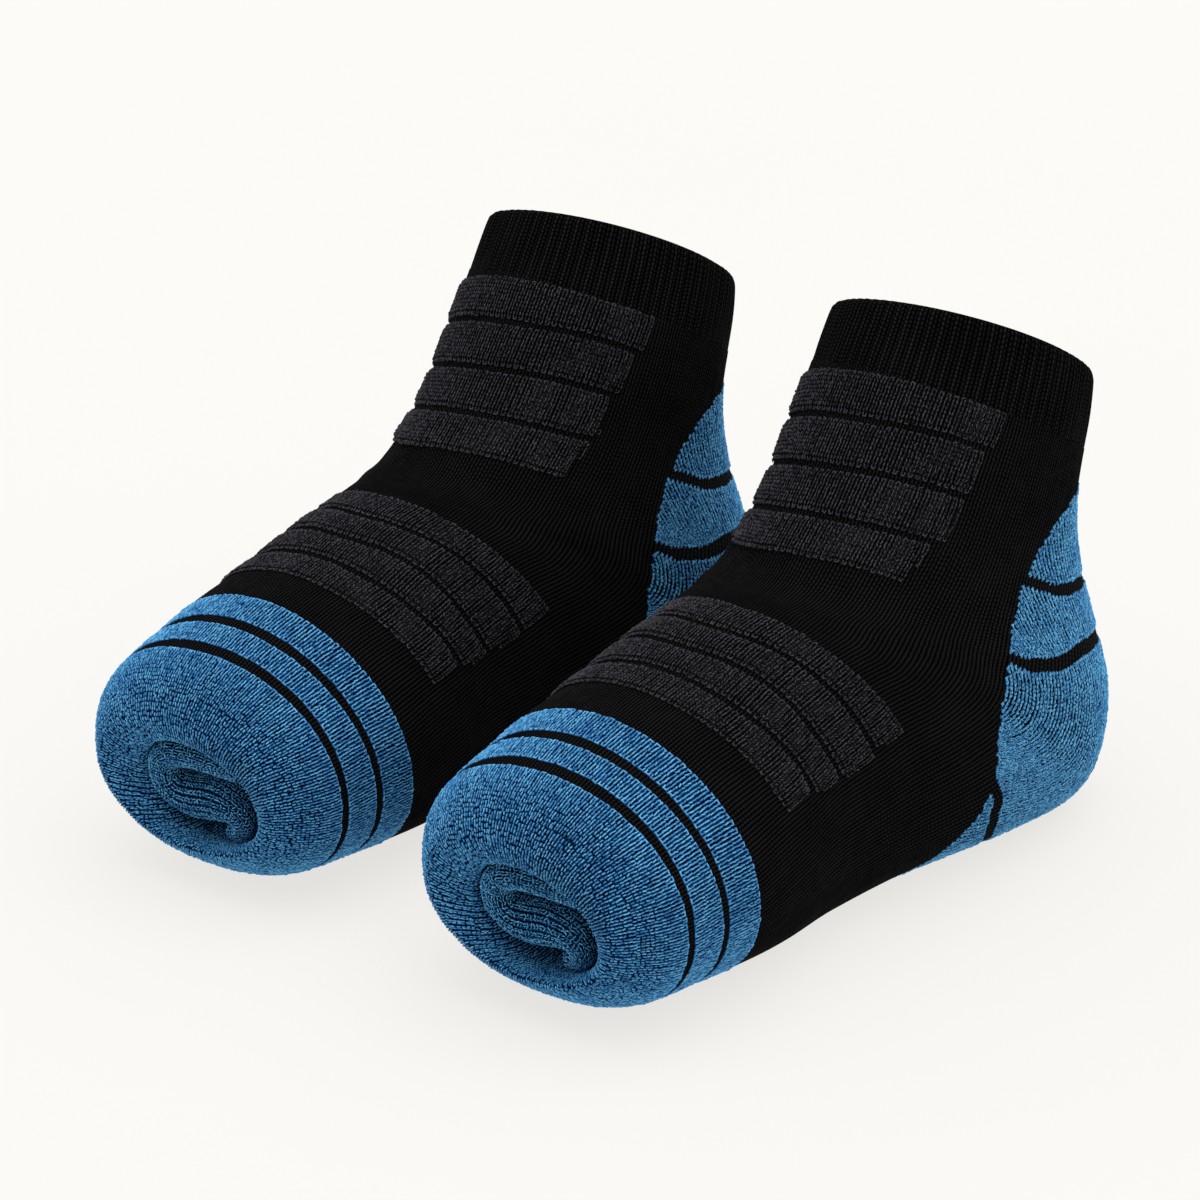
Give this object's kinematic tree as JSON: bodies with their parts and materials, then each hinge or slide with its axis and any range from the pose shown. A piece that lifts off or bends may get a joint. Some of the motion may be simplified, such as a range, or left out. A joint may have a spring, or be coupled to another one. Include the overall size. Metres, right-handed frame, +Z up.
{
  "type": "pair of rolled socks",
  "caption": "Quarter-height sports socks, filled out and hollow, standing side by side, with ribbed cuffs, terry bands, blue heels and toes turned in and rolled.",
  "frame": {"origin": "middle of the pair's footprint, on the surface that it stands on", "axes": "+Z up, toes towards -Y, heels towards +Y, the left sock at -X and the right one at +X"},
  "size_m": [0.1982, 0.2158, 0.1415],
  "materials": {
    "black_rib": "matt black ribbed knit, 1 by 1 rib",
    "black_knit": "matt black plain knit with raised dark grey terry bands across the ankle and the forefoot",
    "blue_terry": "mid blue terry knit with thin black stripes"
  },
  "bodies": {
    "root": {"left_cuff": "black_rib", "left_leg_foot": "black_knit", "left_heel": "blue_terry", "left_toe": "blue_terry", "left_toe_roll": "blue_terry", "right_cuff": "black_rib", "right_leg_foot": "black_knit", "right_heel": "blue_terry", "right_toe": "blue_terry", "right_toe_roll": "blue_terry"}
  },
  "joints": []
}
